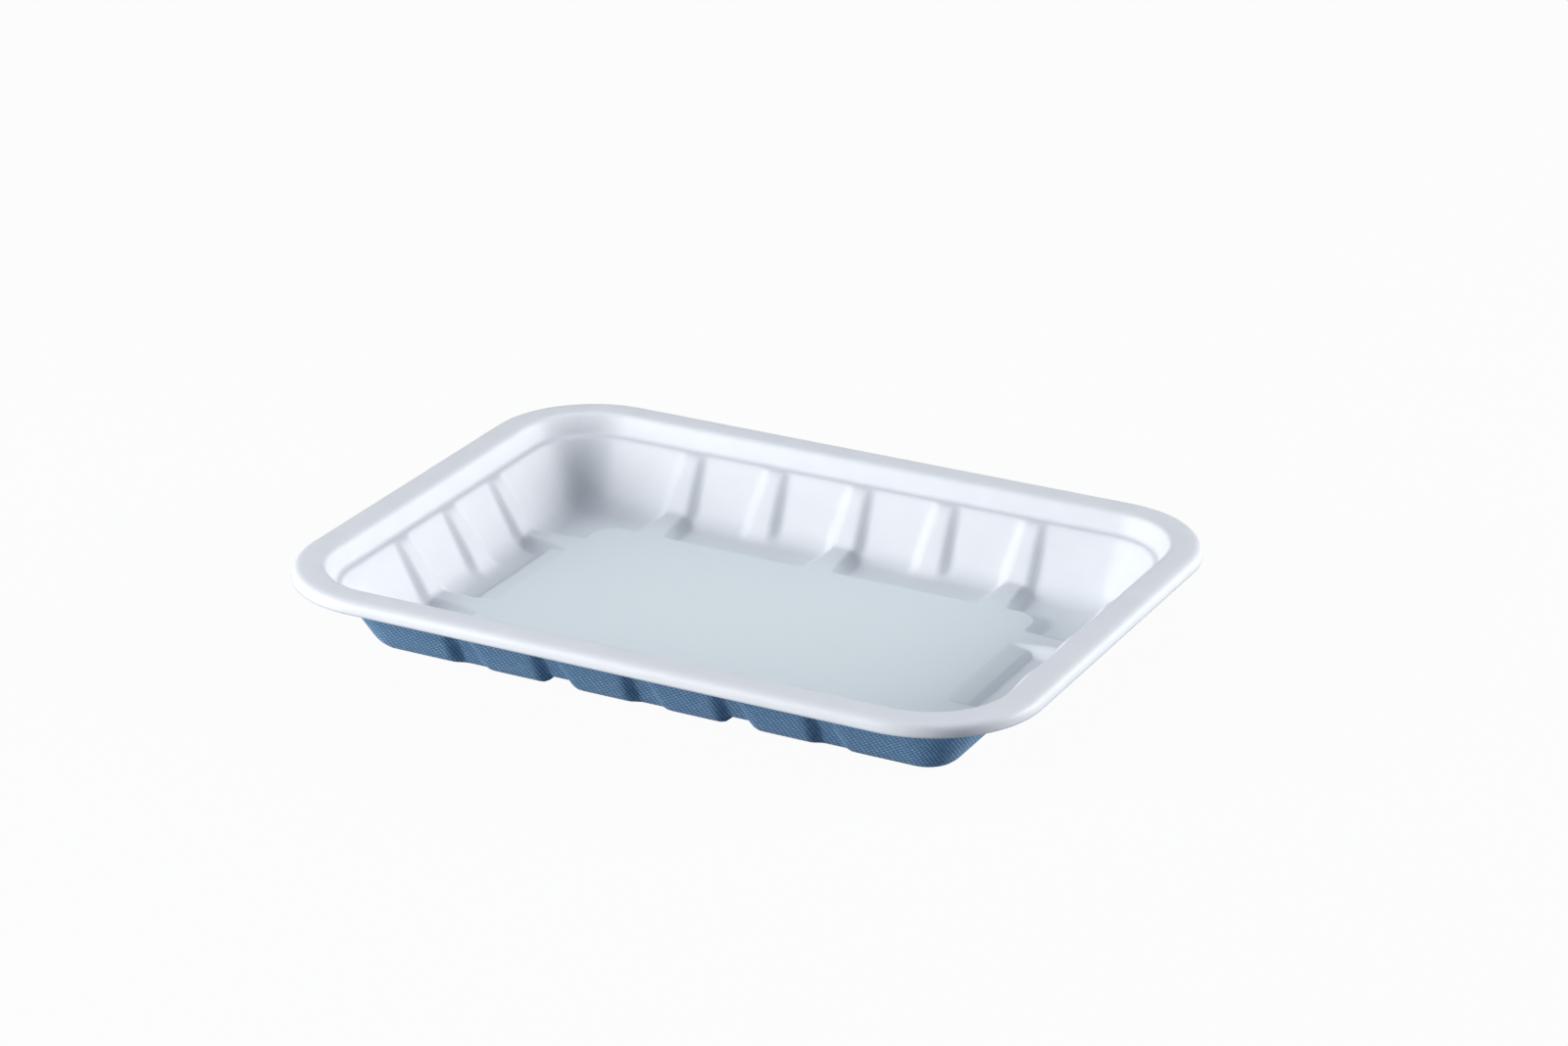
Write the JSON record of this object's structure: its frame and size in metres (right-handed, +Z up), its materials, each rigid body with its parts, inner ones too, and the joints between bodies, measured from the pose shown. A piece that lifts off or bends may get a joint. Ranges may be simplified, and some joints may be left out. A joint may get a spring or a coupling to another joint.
{
  "type": "disposable food tray",
  "caption": "Shallow rectangular food tray pressed from plant-fibre pulp, with a rolled rim, ribbed sloping walls, a pocketed foot ring and a flat floor.",
  "frame": {"origin": "centre of the foot ring, on the surface that the tray stands on", "axes": "+X along the long sides, +Y towards the back, +Z up, out of the open side"},
  "size_m": [0.225, 0.167, 0.025],
  "materials": {
    "moulded_pulp": "matte, hot-pressed smooth inside"
  },
  "bodies": {
    "root": {"tray": "moulded_pulp"}
  },
  "joints": []
}
